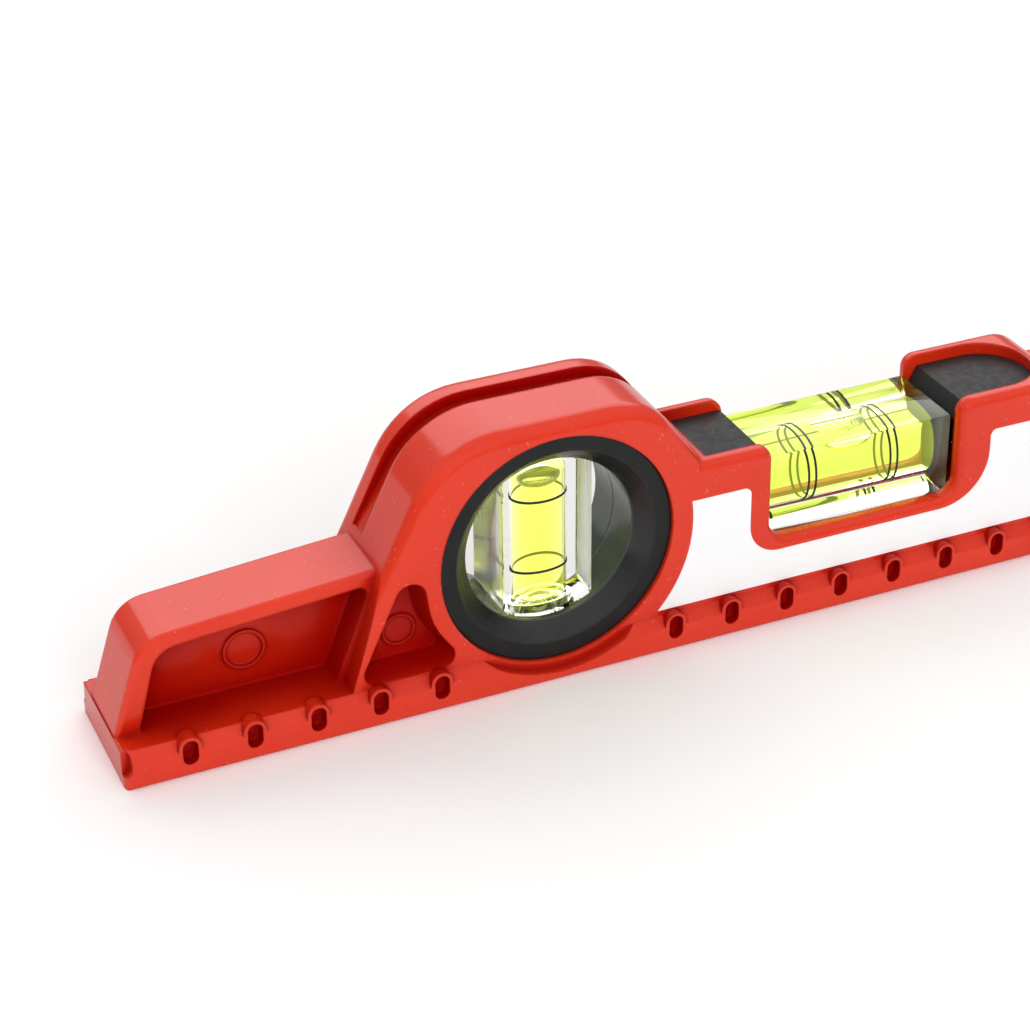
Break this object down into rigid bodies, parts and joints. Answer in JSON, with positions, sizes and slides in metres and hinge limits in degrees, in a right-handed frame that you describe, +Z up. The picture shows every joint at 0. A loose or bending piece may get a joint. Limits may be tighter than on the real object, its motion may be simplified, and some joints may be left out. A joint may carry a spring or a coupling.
{
  "type": "magnetic spirit level",
  "caption": "Short cast spirit level with a round plumb vial window in a raised hump, a clear level vial in the middle, and magnets set into its flat base.",
  "frame": {"origin": "middle of the ground base face", "axes": "+X along the base from the hump's end to the low right end, +Y to the back, +Z up"},
  "size_m": [0.25, 0.024, 0.0445],
  "materials": {
    "red_paint": "glossy",
    "black_gloss_plastic": "satin",
    "clear_acrylic": "polished",
    "vial_liquid": "clear liquid",
    "air_bubble": "clear",
    "line_black": "printed",
    "black_matte_plastic": "matte",
    "label_white": "satin",
    "magnet_metal": "ground"
  },
  "bodies": {
    "level": {"casting": "red_paint", "plumb_bezel_front": "black_gloss_plastic", "plumb_bezel_back": "black_gloss_plastic", "plumb_vial_block": "clear_acrylic", "plumb_fluid": "vial_liquid", "plumb_line_upper": "line_black", "plumb_line_lower": "line_black", "plumb_end_plug": "clear_acrylic", "level_vial_block": "clear_acrylic", "level_fluid": "vial_liquid", "level_lines_left": "line_black", "level_lines_right": "line_black", "level_end_plug": "clear_acrylic", "left_cap": "black_matte_plastic", "right_cap": "black_matte_plastic", "front_label": "label_white", "back_label": "label_white", "magnet_left": "magnet_metal", "magnet_middle": "magnet_metal", "magnet_right": "magnet_metal"},
    "level_bubble": {"level_bubble": "air_bubble"},
    "plumb_bubble": {"plumb_bubble": "air_bubble"}
  },
  "joints": [
    {"name": "level_bubble_slide", "type": "slide", "parent": "level", "child": "level_bubble", "axis": [1, 0, 0], "range_m": [-0.0144, 0.0101], "stiffness_N_per_m": 0.02, "deforming": ["level_fluid"]},
    {"name": "plumb_bubble_slide", "type": "slide", "parent": "level", "child": "plumb_bubble", "axis": [0, 0, 1], "range_m": [-0.0187, 0], "stiffness_N_per_m": 1, "springref_m": 0.006, "deforming": ["plumb_fluid"]}
  ]
}
